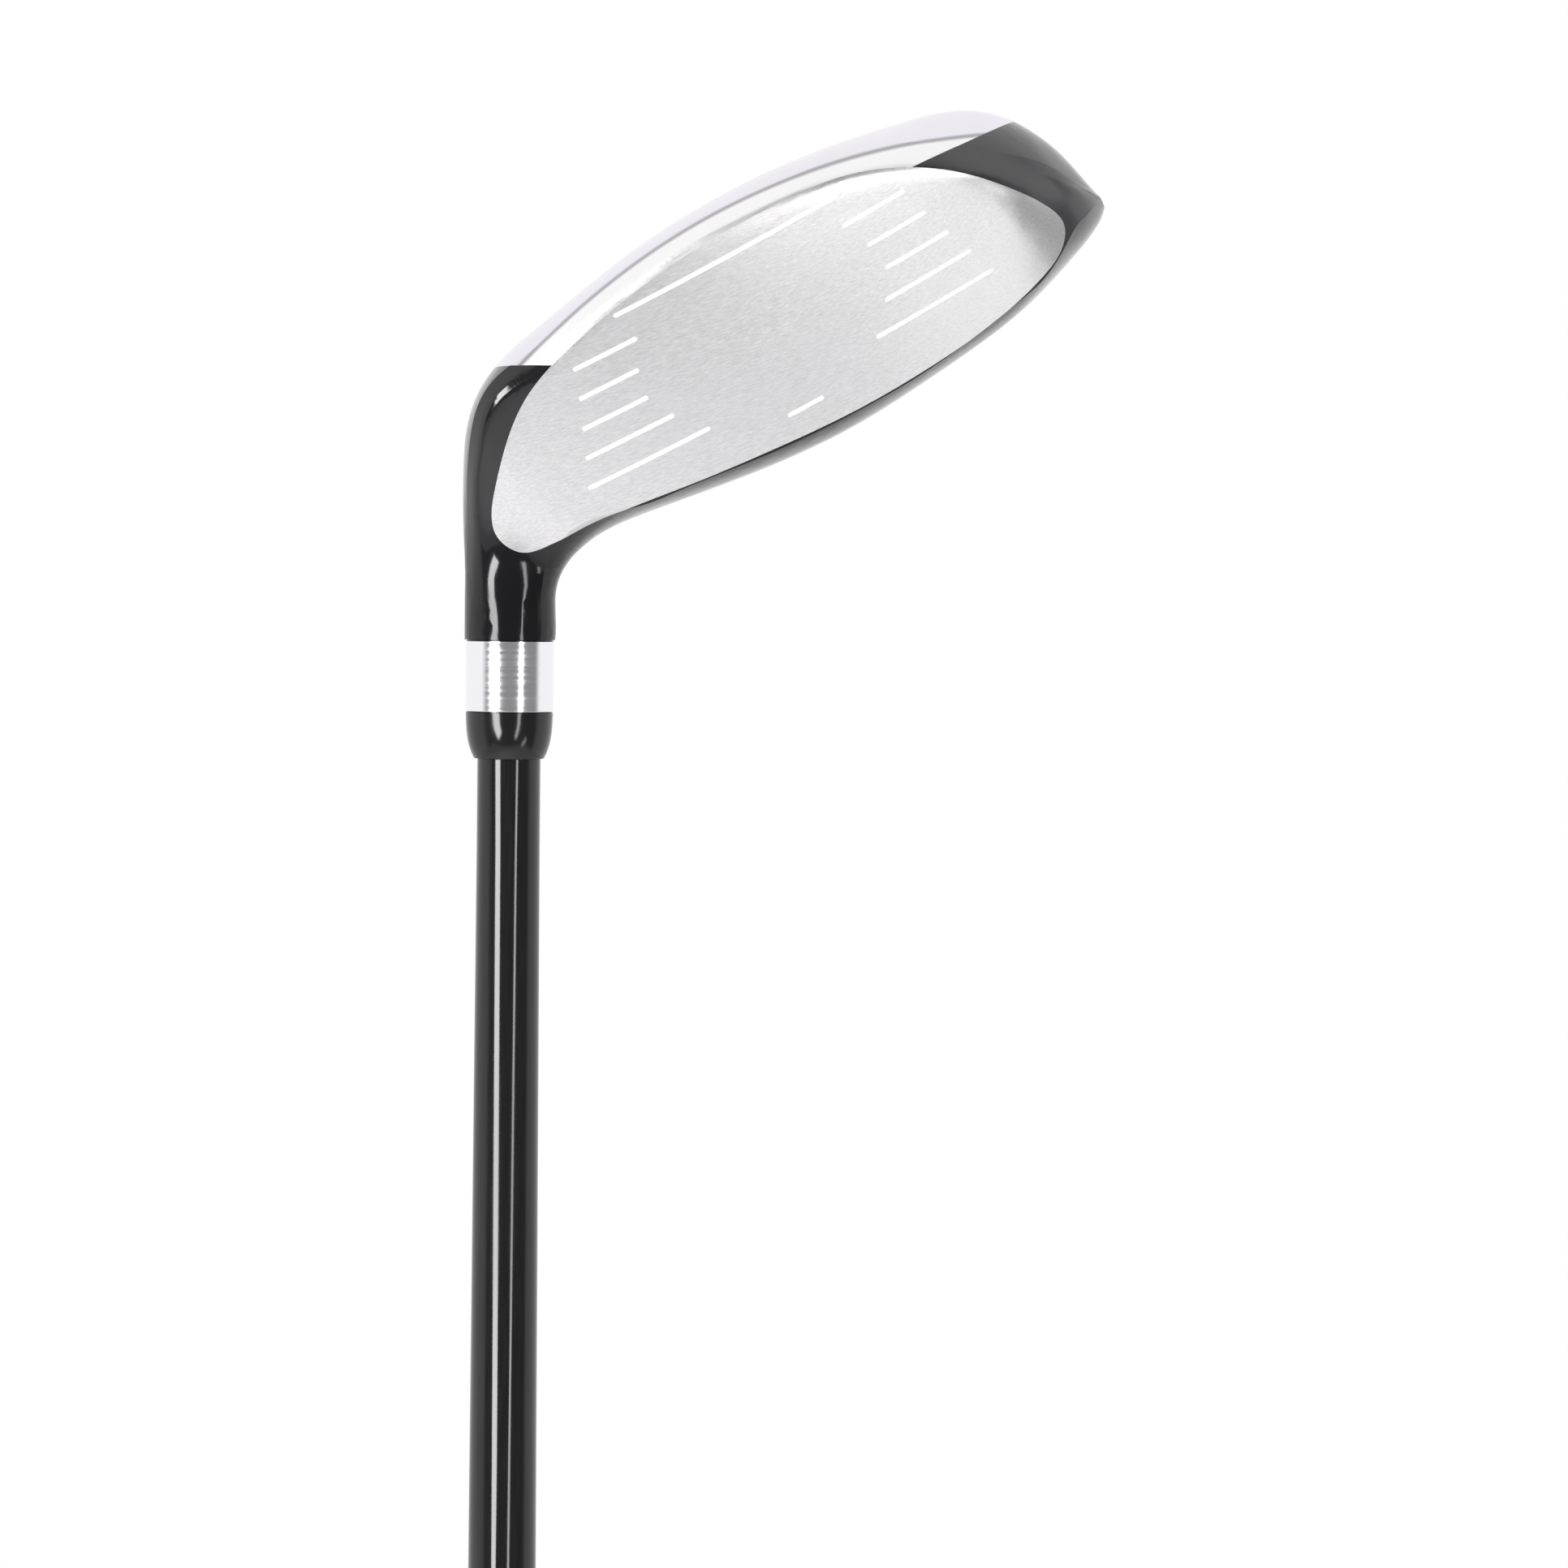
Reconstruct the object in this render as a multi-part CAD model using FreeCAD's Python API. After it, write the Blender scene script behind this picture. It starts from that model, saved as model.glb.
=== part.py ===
import FreeCAD, Part
import math
import os

os.makedirs("parts", exist_ok=True)

# Right-handed hybrid golf club, millimetres.  The shaft axis is +Z, the centre of
# the butt end of the grip is the origin, the face looks toward -Y and the toe
# points toward +X.

V = FreeCAD.Vector

# ---- whole club -------------------------------------------------------------
LIE = 61.0                 # angle between shaft axis and ground line, degrees
LOFT = 22.0                # face loft, degrees
HEAD_Z = 981.6             # height of the head datum line on the shaft axis
AXIS_T = -47.3             # shaft axis crosses the head datum at this toe-ward place

# ---- face -------------------------------------------------------------------
FACE_BACK = -13.0          # face plane at the datum line, ahead of the shaft axis
FACE_MID_S = 7.0           # sole-ward place of the face centre
FACE_RADIUS = 254.0        # bulge and roll radius (10 in)
FACE_THICK = 2.2           # at the middle; thinner at the heel, thicker at the toe
BACK_SHIFT = 7.0           # heel-ward shift of the sphere behind the face plate
FACE_LEDGE = 3.0           # width of the ledge under the edge of the face plate
WINDOW_DEPTH = 12.0        # the opening behind the face plate reaches this far back
FACE_OUTLINE = [           # toe-ward, crown-ward places on the face plane
    (-48.8, 7.6), (-48.5, 11.0), (-46.6, 13.2), (-42.4, 13.9), (-33.1, 13.8),
    (-20.4, 14.9), (-7.5, 16.0), (5.6, 16.8), (19.4, 16.6), (31.0, 15.5),
    (40.0, 13.4), (44.4, 11.3), (46.1, 8.8), (45.1, 4.8), (40.6, -1.9),
    (36.0, -7.0), (29.5, -11.8), (20.5, -15.6), (9.1, -17.0), (-3.0, -16.9),
    (-14.4, -15.4), (-26.5, -12.4), (-34.9, -8.8), (-41.4, -3.2), (-46.2, 2.8)]
TOE_ROLL_T = 14.0          # the face rolls back outside a circle round this place
TOE_ROLL_FROM = 24.0       # radius of that circle
TOE_ROLL_RADIUS = 30.0

# score lines: crown-ward place of the row, inner end, outer end (mirrored heel/toe)
SCORE_PAIRS = [(-9.2, 16.9, 27.4), (-4.8, 18.9, 28.7), (-0.4, 19.6, 30.4),
               (3.9, 17.5, 32.0), (8.3, 13.8, 33.8)]
SCORE_SINGLES = [(-13.7, 18.5), (12.4, 3.0)]
SCORE_WIDTH = 0.75
SCORE_DEPTH = 0.45
PAINT_BELOW = 0.06         # paint surface below the face surface

# ---- head shell: silhouettes in the toe / sole plane --------------------------
CROWN_LINE = [
    (-48.96, -16.91), (-46.8, -13.0), (-45.1, -10.2), (-42.6, -8.1), (-38.5, -6.6),
    (-33.0, -6.2), (-27.5, -6.8), (-20.0, -7.9), (-8.3, -9.4), (4.0, -10.1),
    (16.0, -9.45), (26.5, -8.35), (34.0, -7.15), (42.2, -4.8), (48.0, -2.6),
    (51.8, -0.7), (53.4, 0.7)]
SOLE_LINE = [
    (-60.78, -10.37), (-58.0, -5.35), (-55.4, -0.6), (-52.3, 5.6), (-50.1, 9.5),
    (-47.7, 13.7), (-44.8, 17.6), (-41.5, 20.7), (-36.5, 23.0), (-31.0, 24.5),
    (-25.0, 25.6), (-17.3, 27.0), (-9.9, 28.1), (2.0, 28.85), (14.0, 28.5),
    (24.0, 27.3), (33.0, 25.7), (39.5, 24.1), (44.0, 21.7), (47.2, 18.7),
    (50.1, 14.0), (52.1, 8.6), (53.0, 4.3), (53.4, 2.9)]
CREASE_LINE = [
    (-34.0, 21.0), (-26.0, 22.8), (-18.4, 24.2), (-10.9, 25.5), (-2.0, 26.3),
    (9.5, 26.1), (19.0, 25.2), (28.1, 23.5), (33.5, 21.0), (38.6, 17.6),
    (43.5, 14.1), (48.1, 10.1), (51.1, 5.9), (53.4, 2.6)]
LEADING_LINE = [
    (-32.0, 18.4), (-26.5, 20.4), (-19.1, 21.9), (-10.9, 23.4), (0.0, 24.0),
    (9.1, 23.9), (15.6, 23.4), (20.5, 22.4), (25.1, 21.0), (29.5, 19.1), (33.6, 16.8),
    (37.0, 14.1), (40.3, 10.8), (43.3, 7.1), (45.4, 4.2), (47.2, 3.2), (49.5, 3.2),
    (53.4, 2.3)]
# rearmost place, height of the topline below the crown, depth of the crease behind
# the face sphere, back-ward place of the sole and crown silhouettes
REAR_LINE = [
    (-48.96, 6.75), (-46.8, 6.75), (-45.7, 6.9), (-44.5, 7.4), (-42.9, 9.0),
    (-40.6, 12.0), (-37.6, 16.2), (-33.6, 21.2), (-28.4, 26.1), (-21.5, 30.6),
    (-13.5, 34.3), (-5.0, 36.8), (4.0, 37.5), (13.0, 36.5), (21.5, 33.8),
    (29.5, 29.5), (36.5, 24.4), (42.0, 19.6), (46.0, 15.8), (49.0, 12.8),
    (51.2, 10.2), (52.7, 8.0), (53.4, 6.4)]
TOP_DROP = [
    (-34.0, 1.15), (-26.0, 1.15), (-14.0, 1.45), (-3.0, 1.55), (6.0, 1.5),
    (14.0, 1.15), (22.0, 1.05), (34.0, 1.25), (42.0, 1.35), (46.0, 2.4), (49.0, 2.7),
    (51.4, 2.3), (53.4, 0.8)]
CREASE_RECESS = [
    (-45.0, 2.6), (-34.0, 3.0), (-20.0, 4.0), (0.0, 4.4), (22.0, 4.4), (36.0, 4.8),
    (42.0, 5.0), (46.0, 5.0), (50.0, 5.0), (53.4, 4.5)]
SOLE_MID = [(-60.0, 0.0), (-45.0, -1.2), (-20.0, -5.0), (0.0, -6.0), (24.0, -4.0),
            (38.0, -1.0), (46.0, 2.0), (53.4, 4.6)]
CROWN_MID = [(-49.0, 0.0), (-40.0, 0.5), (-20.0, 1.0), (0.0, 1.5), (30.0, 1.5),
             (44.0, 2.8), (53.4, 4.8)]

# stations: toe-ward place on the crown line, on the sole line, share of head shape
STATIONS = [
    (-48.96, -60.78, 0.0), (-47.9, -59.72, 0.0), (-46.8, -58.5, 0.0),
    (-45.7, -56.8, 0.08), (-44.5, -54.6, 0.3), (-42.9, -51.9, 0.62),
    (-40.6, -48.6, 0.88), (-37.6, -44.2, 1.0), (-33.6, -38.4, 1.0),
    (-28.4, -31.4, 1.0), (-21.5, -22.6, 1.0), (-13.5, -13.5, 1.0),
    (-5.0, -5.0, 1.0), (4.0, 4.0, 1.0), (13.0, 13.0, 1.0), (21.5, 21.5, 1.0),
    (29.5, 29.5, 1.0), (36.5, 36.5, 1.0), (42.0, 42.0, 1.0), (46.0, 46.0, 1.0),
    (49.0, 49.0, 1.0), (51.2, 51.2, 1.0), (52.7, 52.7, 1.0), (53.4, 53.4, 1.0)]

HOSEL_R = 6.75
NECK_TOP = 0.146           # topline, leading edge and crease as shares of the neck
NECK_LEAD = 0.857
NECK_CREASE = 0.94
TOE_NOSE_T = 45.0          # the front rolls back from here to the toe
TOE_NOSE_LENGTH = 8.4
TOE_NOSE_DEPTH = 9.5
CREASE_STEP = 0.36         # step down from the leading edge strip to the sole

WALL = 1.8                 # casting wall above and below the cavity
FRONT_WALL = 4.4           # casting wall in front of the cavity
REAR_WALL = 2.6
CAVITY_STATIONS = slice(8, 20)
CROWN_THICK = 0.9          # crown plate
CROWN_LEDGE = 3.0
CROWN_ZONE_S = 7.0         # the crown plate lies on the crown side of this level
CROWN_OUTLINE = [          # toe-ward, back-ward places of the crown plate's edge
    (-27.0, -2.2), (-10.0, -3.6), (10.0, -3.8), (30.0, -2.6), (41.0, 0.0), (46.0, 5.0),
    (44.5, 11.5), (36.5, 20.2), (29.5, 25.4), (21.5, 29.6), (13.0, 32.3), (4.0, 33.3),
    (-5.0, 32.6), (-13.5, 30.1), (-21.5, 26.3), (-28.4, 21.0), (-32.0, 14.5),
    (-32.0, 4.5)]
PAD_T = 8.0                # glue pad inside the head
PAD_B = 8.0
PAD_R = 7.0
PAD_TOP_S = 24.6

# ---- hosel, shaft and grip ----------------------------------------------------
HOSEL_FACE_Z = 966.0       # end of the hosel toward the grip
BORE_R = 4.8
BORE_DEPTH = 24.0
PLUG_LENGTH = 3.0
SHAFT_TIP_R = 4.7          # .370 in tip
SHAFT_BUTT_R = 7.6         # .600 in butt
SHAFT_BUTT_Z = 3.0
SHAFT_BUTT_FULL_Z = 60.0   # full butt size up to here
SHAFT_PARALLEL_Z = 935.0   # parallel tip from here
SHAFT_TIP_WALL = 1.9
SHAFT_BUTT_WALL = 1.1
TIP_WEIGHT_LENGTH = 22.0
TIP_WEIGHT_FLANGE = 1.2
RING_R = 6.55
RING_LENGTH = 10.8
SLIDE_R = 4.75             # bore of ring and ferrule over the shaft tip
FERRULE_LENGTH = 6.9
FERRULE_BIG_R = 6.5
FERRULE_SMALL_R = 5.55
TAPE_THICK = 0.15
TAPE_END_Z = 262.0
GRIP_END_Z = 268.0
GRIP_PROFILE = [           # height, radius
    (3.0, 13.3), (10.0, 13.25), (30.0, 12.55), (75.0, 11.6), (130.0, 10.9),
    (190.0, 10.15), (262.0, 9.1)]
GRIP_LIP_R = 8.3
CAP_R = 13.3
CAP_THICK = 3.0
CAP_EDGE_R = 0.9
CAP_HOLE_R = 1.6

lie = math.radians(LIE)
loft = math.radians(LOFT)
E_TOE = V(math.sin(lie), 0, math.cos(lie))
E_BACK = V(0, 1, 0)
E_SOLE = V(-math.cos(lie), 0, math.sin(lie))
HEAD_ORIGIN = V(0, 0, HEAD_Z) - E_TOE * AXIS_T
FACE_NORMAL = -E_BACK * math.cos(loft) - E_SOLE * math.sin(loft)
FACE_UP = E_TOE.cross(FACE_NORMAL)


def head_point(t, b, s):
    return HEAD_ORIGIN + E_TOE * t + E_BACK * b + E_SOLE * s


FACE_ORIGIN = head_point(0, FACE_BACK - FACE_MID_S * math.tan(loft), FACE_MID_S)
SPHERE_B = FACE_BACK - FACE_MID_S * math.tan(loft) + FACE_RADIUS * math.cos(loft)
SPHERE_S = FACE_MID_S + FACE_RADIUS * math.sin(loft)
SPHERE_CENTRE = head_point(0, SPHERE_B, SPHERE_S)


def face_depth(t, s):
    """Back-ward place of the face sphere."""
    return SPHERE_B - math.sqrt(FACE_RADIUS ** 2 - t ** 2 - (s - SPHERE_S) ** 2)


def guide(points):
    curve = Part.BSplineCurve()
    curve.interpolate([V(x, y, 0) for x, y in points])
    return curve


def value(curve, x):
    """Second coordinate of a guide curve where its first coordinate is x."""
    lo = curve.FirstParameter
    hi = curve.LastParameter
    if x <= curve.value(lo).x:
        return curve.value(lo).y
    if x >= curve.value(hi).x:
        return curve.value(hi).y
    for _ in range(50):
        mid = 0.5 * (lo + hi)
        if curve.value(mid).x < x:
            lo = mid
        else:
            hi = mid
    return curve.value(lo).y


crown_line = guide(CROWN_LINE)
sole_line = guide(SOLE_LINE)
crease_line = guide(CREASE_LINE)
leading_line = guide(LEADING_LINE)
rear_line = guide(REAR_LINE)
top_drop = guide(TOP_DROP)
crease_recess = guide(CREASE_RECESS)
sole_mid = guide(SOLE_MID)
crown_mid = guide(CROWN_MID)


def mix(a, b, share):
    return a + (b - a) * share


def toe_roll(t, s):
    """How far the face rolls back behind the sphere toward the toe."""
    over = math.hypot(t - TOE_ROLL_T, s / math.cos(loft)) - TOE_ROLL_FROM
    if t < TOE_ROLL_T or over < 0:
        return 0.0
    return over ** 2 / (2 * TOE_ROLL_RADIUS)


def station_points(t_in, t_out, share):
    """Three runs of (toe, back, sole) points round one station of the head."""
    s_in = value(crown_line, t_in)
    s_out = value(sole_line, t_out)
    height = math.hypot(t_out - t_in, s_out - s_in)
    dt = (t_out - t_in) / height
    ds = (s_out - s_in) / height
    w_top = NECK_TOP * height
    w_lead = NECK_LEAD * height
    w_crease = NECK_CREASE * height
    if share == 1.0 and t_in > -30:
        w_top = value(top_drop, t_in)
        w_lead = (value(leading_line, t_out) - s_in) / ds
        w_crease = (value(crease_line, t_out) - s_in) / ds
    elif share > 0.8:
        w_top = mix(w_top, value(top_drop, t_in), (t_in + 43) / 13)
    recess = value(crease_recess, t_in + dt * w_crease)
    corner = min(0.35 + 0.3 * max(0.0, min(1.0, t_in / 30.0)), 0.06 * height)
    blunt = max(0.0, min(1.0, (t_in - 41.0) / 8.0, (STATIONS[-1][0] - t_in) / 3.0))
    corner = mix(corner, 0.26 * height, blunt)

    def front(w):
        t = t_in + dt * w
        s = s_in + ds * w
        nose = max(0.0, (t - TOE_NOSE_T) / TOE_NOSE_LENGTH) ** 2.3 * TOE_NOSE_DEPTH
        turn = corner * math.log(1 + math.exp((w - w_lead) / corner))
        strip = recess * turn / (w_crease - w_lead)
        back = (strip ** 3 + nose ** 3 + toe_roll(t, s) ** 3) ** (1 / 3.0)
        flat = face_depth(t, s) + back
        round_part = -HOSEL_R * math.sqrt(max(0.0, 1 - (2 * w / height - 1) ** 2))
        return mix(round_part, flat, share)

    b_top = front(w_top)
    b_crease = front(w_crease)
    b_out = value(sole_mid, t_out)
    b_in = value(crown_mid, t_in)
    b_rear = value(rear_line, t_in)
    w_rear = 0.5 * height
    a_top = mix(math.acos(1 - 2 * NECK_TOP), math.radians(50), share)
    a_crease = mix(math.acos(2 * NECK_CREASE - 1), math.radians(42), share)
    n_sole = mix(2.0, 2.25, share)
    n_crown = mix(2.0, 1.9, share)

    front_run = []
    knee = max(w_top + 0.3 * (w_lead - w_top), w_lead - 3 * corner)
    for i in range(10):
        front_run.append(mix(w_top, knee, i / 10.0))
    for i in range(15):
        front_run.append(mix(knee, w_crease, i / 14.0))
    front_run = [(w, front(w)) for w in front_run]

    fade = min(1.0, max(0.0, (53.4 - t_in) / 20.0))
    step = 0.02 + CREASE_STEP * share * fade
    w_sole = w_crease - step
    b_sole = b_crease + step
    step_run = [(mix(w_crease, w_sole, k), mix(b_crease, b_sole, k)) for k in (0, 0.5, 1)]

    long_run = []
    rise = (height - w_sole) / (1 - math.cos(a_crease))
    run = (b_out - b_sole) / math.sin(a_crease)
    for i in range(8):
        a = a_crease * (1 - i / 8.0)
        long_run.append((height - rise * (1 - math.cos(a)), b_out - run * math.sin(a)))
    for i in range(13):
        a = 0.5 * math.pi * i / 13.0
        long_run.append((w_rear + (height - w_rear) * math.cos(a) ** (2 / n_sole),
                         b_out + (b_rear - b_out) * math.sin(a) ** (2 / n_sole)))
    for i in range(13):
        a = 0.5 * math.pi * (1 - i / 13.0)
        long_run.append((w_rear - w_rear * math.cos(a) ** (2 / n_crown),
                         b_in + (b_rear - b_in) * math.sin(a) ** (2 / n_crown)))
    rise = w_top / (1 - math.cos(a_top))
    run = (b_in - b_top) / math.sin(a_top)
    for i in range(9):
        a = a_top * i / 8.0
        long_run.append((rise * (1 - math.cos(a)), b_in - run * math.sin(a)))
    runs = []
    for points in (front_run, step_run, long_run):
        runs.append([(t_in + dt * w, b, s_in + ds * w) for w, b in points])
    return runs


def inset_runs(runs, wall, front, rear):
    """Shrink a station so that it lies inside by the three wall thicknesses."""
    every = [p for points in runs for p in points]
    t_mid = 0.5 * (min(p[0] for p in every) + max(p[0] for p in every))
    s_mid = 0.5 * (min(p[2] for p in every) + max(p[2] for p in every))
    s_half = max(p[2] for p in every) - s_mid
    b_low = min(p[1] for p in every)
    b_high = max(p[1] for p in every)
    scale_b = 1 - (front + rear) / (b_high - b_low)
    scale_w = 1 - wall / max(s_half, 1.5 * wall)
    result = []
    for points in runs:
        result.append([(t_mid + (t - t_mid) * scale_w,
                        b_low + front + (b - b_low) * scale_b,
                        s_mid + (s - s_mid) * scale_w) for t, b, s in points])
    return result


def station_wire(runs):
    edges = []
    for points in runs:
        curve = Part.BSplineCurve()
        curve.interpolate([head_point(*p) for p in points])
        edges.append(curve.toShape())
    return Part.Wire(edges)


def head_loft(stations, wall, front, rear):
    wires = []
    for station in stations:
        runs = inset_runs(station_points(*station), wall, front, rear)
        wires.append(station_wire(runs))
    return Part.makeLoft(wires, True, False)


def shrunk(points, inset):
    """A closed outline drawn in toward its middle by the inset at its four extremes."""
    mids = []
    scales = []
    for axis in (0, 1):
        low = min(p[axis] for p in points)
        high = max(p[axis] for p in points)
        mids.append(0.5 * (low + high))
        scales.append(1 - 2 * inset / (high - low))
    return [(mids[0] + (x - mids[0]) * scales[0], mids[1] + (y - mids[1]) * scales[1])
            for x, y in points]


def closed_face(places):
    curve = Part.BSplineCurve()
    curve.interpolate(places, PeriodicFlag=True)
    return Part.Face(Part.Wire([curve.toShape()]))


def face_column(front, back, inset):
    """Column with the outline of the face plate, from front to back of the face."""
    origin = FACE_ORIGIN + FACE_NORMAL * front
    places = [origin + E_TOE * t + FACE_UP * f for t, f in shrunk(FACE_OUTLINE, inset)]
    return closed_face(places).extrude(-FACE_NORMAL * (front + back))


def score_slots():
    rows = []
    for f, near, far in SCORE_PAIRS:
        rows.append((f, near, far))
        rows.append((f, -far, -near))
    for f, far in SCORE_SINGLES:
        rows.append((f, -far, far))
    slots = []
    half = SCORE_WIDTH / 2
    base = FACE_ORIGIN + FACE_NORMAL * 12
    frame = FreeCAD.Matrix(E_TOE.x, FACE_UP.x, -FACE_NORMAL.x, base.x,
                           E_TOE.y, FACE_UP.y, -FACE_NORMAL.y, base.y,
                           E_TOE.z, FACE_UP.z, -FACE_NORMAL.z, base.z, 0, 0, 0, 1)
    for f, left, right in rows:
        start = V(left + half, f, 0)
        end = V(right - half, f, 0)
        up = V(0, half, 0)
        edges = [Part.makeLine(start + up, end + up),
                 Part.Arc(end + up, end + V(half, 0, 0), end - up).toShape(),
                 Part.makeLine(end - up, start - up),
                 Part.Arc(start - up, start - V(half, 0, 0), start + up).toShape()]
        slot = Part.Face(Part.Wire(edges)).extrude(V(0, 0, 24))
        slot.Placement = FreeCAD.Placement(frame)
        slots.append(slot)
    floor = Part.makeSphere(FACE_RADIUS - SCORE_DEPTH, SPHERE_CENTRE)
    return [slot.cut(floor) for slot in slots]


def crown_zone(inset):
    """Column through the crown with the outline of the crown plate."""
    places = [head_point(t, b, CROWN_ZONE_S) for t, b in shrunk(CROWN_OUTLINE, inset)]
    return closed_face(places).extrude(-E_SOLE * 30)


def revolve(profile):
    """Solid of revolution about the shaft axis from (radius, height) corners."""
    points = [V(r, 0, z) for r, z in profile]
    wire = Part.makePolygon(points + [points[0]])
    return Part.Face(wire).revolve(V(0, 0, 0), V(0, 0, 1), 360)


def shaft_radius(z):
    share = min(1.0, max(0.0, (z - SHAFT_BUTT_FULL_Z) / (SHAFT_PARALLEL_Z - SHAFT_BUTT_FULL_Z)))
    return mix(SHAFT_BUTT_R, SHAFT_TIP_R, share)


def make_shaft():
    wall = [(shaft_radius(z), z) for z in
            (SHAFT_BUTT_Z, SHAFT_BUTT_FULL_Z, SHAFT_PARALLEL_Z, SHAFT_TIP_Z)]
    inner_tip = SHAFT_TIP_R - SHAFT_TIP_WALL
    inner_butt = SHAFT_BUTT_R - SHAFT_BUTT_WALL
    inner = [(inner_tip, SHAFT_TIP_Z), (inner_tip, SHAFT_PARALLEL_Z),
             (inner_butt, SHAFT_BUTT_FULL_Z), (inner_butt, SHAFT_BUTT_Z)]
    return revolve(wall + inner)


def make_tip_weight():
    stem = SHAFT_TIP_R - SHAFT_TIP_WALL
    end = SHAFT_TIP_Z + TIP_WEIGHT_FLANGE
    return revolve([(0, SHAFT_TIP_Z - TIP_WEIGHT_LENGTH),
                    (stem, SHAFT_TIP_Z - TIP_WEIGHT_LENGTH), (stem, SHAFT_TIP_Z),
                    (SHAFT_TIP_R - 0.2, SHAFT_TIP_Z), (SHAFT_TIP_R - 0.2, end), (0, end)])


def make_ring():
    top = HOSEL_FACE_Z
    bottom = HOSEL_FACE_Z - RING_LENGTH
    chamfer = 0.25
    return revolve([(SLIDE_R, bottom), (RING_R - chamfer, bottom),
                    (RING_R, bottom + chamfer), (RING_R, top - chamfer),
                    (RING_R - chamfer, top), (SLIDE_R, top)])


def make_ferrule():
    top = HOSEL_FACE_Z - RING_LENGTH
    bottom = top - FERRULE_LENGTH
    side = Part.BSplineCurve()
    side.interpolate([V(FERRULE_BIG_R, 0, top), V(FERRULE_BIG_R - 0.12, 0, top - 2.4),
                      V(FERRULE_SMALL_R + 0.2, 0, bottom + 1.3),
                      V(FERRULE_SMALL_R - 0.35, 0, bottom + 0.1)])
    chain = [V(FERRULE_SMALL_R - 0.35, 0, bottom + 0.1), V(SLIDE_R, 0, bottom),
             V(SLIDE_R, 0, top), V(FERRULE_BIG_R, 0, top)]
    edges = [side.toShape()] + [Part.makeLine(a, b) for a, b in zip(chain, chain[1:])]
    return Part.Face(Part.Wire(edges)).revolve(V(0, 0, 0), V(0, 0, 1), 360)


def sleeve(z_from, z_to, thick):
    """Thin layer of the given thickness on the outside of the shaft."""
    stops = [z for z in (SHAFT_BUTT_FULL_Z, SHAFT_PARALLEL_Z) if z_from < z < z_to]
    heights = [z_from] + stops + [z_to]
    outer = [(shaft_radius(z) + thick, z) for z in heights]
    inner = [(shaft_radius(z), z) for z in reversed(heights)]
    return revolve(outer + inner)


def make_grip():
    side = Part.BSplineCurve()
    side.interpolate([V(r, 0, z) for z, r in GRIP_PROFILE])
    last_z, last_r = GRIP_PROFILE[-1]
    first_z, first_r = GRIP_PROFILE[0]
    lip = Part.Arc(V(last_r, 0, last_z), V(mix(last_r, GRIP_LIP_R, 0.3), 0, GRIP_END_Z - 2.0),
                   V(GRIP_LIP_R, 0, GRIP_END_Z)).toShape()
    bore = [V(shaft_radius(z) + TAPE_THICK, 0, z) for z in (GRIP_END_Z, TAPE_END_Z)]
    bore += [V(shaft_radius(z) + TAPE_THICK, 0, z) for z in (SHAFT_BUTT_FULL_Z, first_z)]
    chain = [V(GRIP_LIP_R, 0, GRIP_END_Z)] + bore + [V(first_r, 0, first_z)]
    edges = [side.toShape(), lip]
    edges += [Part.makeLine(a, b) for a, b in zip(chain, chain[1:])]
    return Part.Face(Part.Wire(edges)).revolve(V(0, 0, 0), V(0, 0, 1), 360)


def make_cap():
    disc = Part.makeCylinder(CAP_R, CAP_THICK)
    rim = [e for e in disc.Edges if e.BoundBox.ZMax < 0.01 and e.BoundBox.XLength > CAP_R]
    disc = disc.makeFillet(CAP_EDGE_R, rim)
    return disc.cut(Part.makeCylinder(CAP_HOLE_R, CAP_THICK))


SHAFT_TIP_Z = HOSEL_FACE_Z + BORE_DEPTH - PLUG_LENGTH - TIP_WEIGHT_FLANGE

outer = head_loft(STATIONS, 0.0, 0.0, 0.0)
skin = head_loft(STATIONS, CROWN_THICK, CROWN_THICK, CROWN_THICK)
cavity = head_loft(STATIONS[CAVITY_STATIONS], WALL, FRONT_WALL, REAR_WALL)
plate_back = Part.makeSphere(FACE_RADIUS - FACE_THICK, SPHERE_CENTRE - E_TOE * BACK_SHIFT)
pocket = face_column(12.0, 14.0, 0.0).cut(plate_back)
window = face_column(0.0, WINDOW_DEPTH, FACE_LEDGE)

face_plate = outer.common(pocket)
slots = score_slots()
paint_level = Part.makeSphere(FACE_RADIUS - PAINT_BELOW, SPHERE_CENTRE)
score_paint = Part.Compound([slot.common(paint_level) for slot in slots])
for slot in slots:
    face_plate = face_plate.cut(slot)

crown_plate = crown_zone(0.0).common(outer).cut(skin)
bore = Part.makeCylinder(BORE_R, BORE_DEPTH, V(0, 0, HOSEL_FACE_Z))
body = outer.cut(cavity).cut(pocket).cut(window).cut(crown_plate)
body = body.cut(crown_zone(CROWN_LEDGE).common(skin)).cut(bore)
glue_pad = Part.makeCylinder(PAD_R, 30, head_point(PAD_T, PAD_B, PAD_TOP_S), E_SOLE)
glue_pad = glue_pad.common(cavity)

PARTS = {
    "head_body": body,
    "face_plate": face_plate,
    "score_paint": score_paint,
    "crown_plate": crown_plate,
    "glue_pad": glue_pad,
    "hosel_plug": Part.makeCylinder(BORE_R, PLUG_LENGTH,
                                    V(0, 0, HOSEL_FACE_Z + BORE_DEPTH - PLUG_LENGTH)),
    "hosel_epoxy": sleeve(HOSEL_FACE_Z, SHAFT_TIP_Z, BORE_R - SHAFT_TIP_R),
    "hosel_ring": make_ring(),
    "ferrule": make_ferrule(),
    "shaft": make_shaft(),
    "tip_weight": make_tip_weight(),
    "grip_tape": sleeve(SHAFT_BUTT_Z, TAPE_END_Z, TAPE_THICK),
    "grip": make_grip(),
    "grip_cap": make_cap(),
}

for name, shape in PARTS.items():
    shape.exportStep("parts/" + name + ".step")
    print(name, shape.isValid(), len(shape.Solids), round(shape.Volume, 1))
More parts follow.
